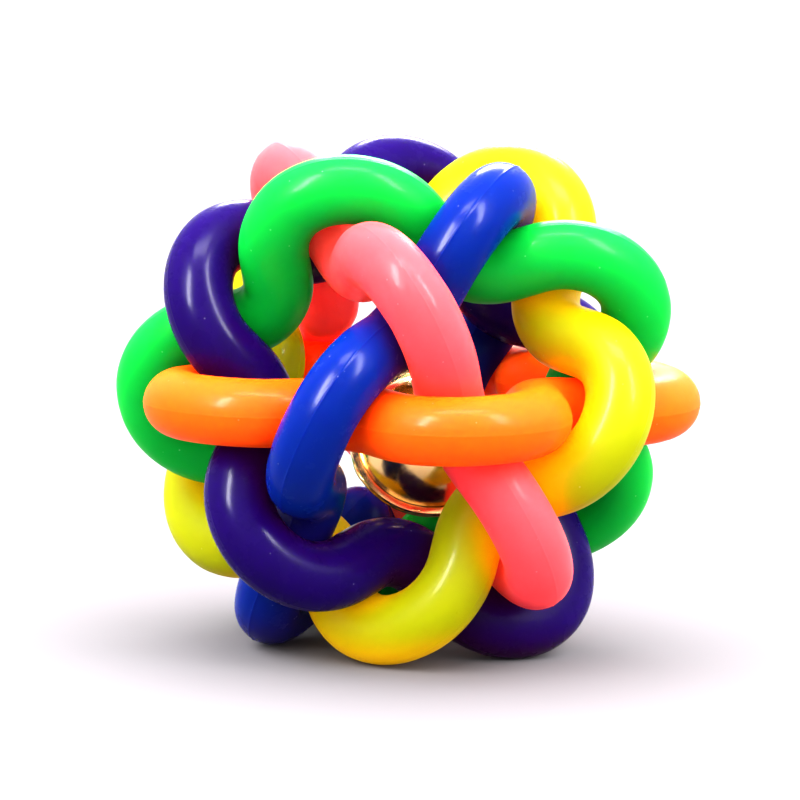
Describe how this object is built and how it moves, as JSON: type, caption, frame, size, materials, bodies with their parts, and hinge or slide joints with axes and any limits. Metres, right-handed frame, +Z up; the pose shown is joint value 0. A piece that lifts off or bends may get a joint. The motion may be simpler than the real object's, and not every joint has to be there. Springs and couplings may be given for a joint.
{
  "type": "woven bell ball",
  "caption": "Hollow ball of interlaced soft rubber rings, woven over and under each other, with a round jingle bell rolling loose inside the open cage.",
  "frame": {"origin": "centre of the ball", "axes": "+Z up along a five-fold axis of the weave, square to the level ring; -Y through a crest of the level ring"},
  "size_m": [0.0726, 0.075, 0.0658],
  "materials": {
    "orange_rubber": "glossy moulded soft rubber",
    "purple_rubber": "glossy moulded soft rubber",
    "pink_rubber": "glossy moulded soft rubber",
    "green_rubber": "glossy moulded soft rubber",
    "blue_rubber": "glossy moulded soft rubber",
    "yellow_rubber": "glossy moulded soft rubber",
    "bell_plate": "bright gold plated pressed sheet",
    "pellet_steel": "dull steel"
  },
  "bodies": {
    "orange_ring": {"orange_ring": "orange_rubber"},
    "purple_ring": {"purple_ring": "purple_rubber"},
    "pink_ring": {"pink_ring": "pink_rubber"},
    "green_ring": {"green_ring": "green_rubber"},
    "blue_ring": {"blue_ring": "blue_rubber"},
    "yellow_ring": {"yellow_ring": "yellow_rubber"},
    "bell": {"bell_slotted_half": "bell_plate", "bell_loop_half": "bell_plate", "bell_loop": "bell_plate"},
    "pellet": {"bell_pellet": "pellet_steel"}
  },
  "joints": [
    {"name": "purple_ring_slip", "type": "hinge", "parent": "orange_ring", "child": "purple_ring", "pos_m": [0, 0, 0], "axis": [0.8944, 0, 0.4472], "range_deg": [-0.5, 0.5]},
    {"name": "pink_ring_slip", "type": "hinge", "parent": "orange_ring", "child": "pink_ring", "pos_m": [0, 0, 0], "axis": [0.2764, 0.8507, 0.4472], "range_deg": [-0.5, 0.5]},
    {"name": "green_ring_slip", "type": "hinge", "parent": "orange_ring", "child": "green_ring", "pos_m": [0, 0, 0], "axis": [-0.7236, 0.5257, 0.4472], "range_deg": [-0.5, 0.5]},
    {"name": "blue_ring_slip", "type": "hinge", "parent": "orange_ring", "child": "blue_ring", "pos_m": [0, 0, 0], "axis": [-0.7236, -0.5257, 0.4472], "range_deg": [-0.5, 0.5]},
    {"name": "yellow_ring_slip", "type": "hinge", "parent": "orange_ring", "child": "yellow_ring", "pos_m": [0, 0, 0], "axis": [0.2764, -0.8507, 0.4472], "range_deg": [-0.5, 0.5]},
    {"name": "bell_roll", "type": "hinge", "parent": "orange_ring", "child": "bell", "pos_m": [0, 0, 0], "axis": [0.809, 0.5878, 0], "continuous": true},
    {"name": "pellet_roll", "type": "hinge", "parent": "bell", "child": "pellet", "pos_m": [0.00275, 0.002, -0.00615], "axis": [0.809, 0.5878, 0], "continuous": true}
  ]
}
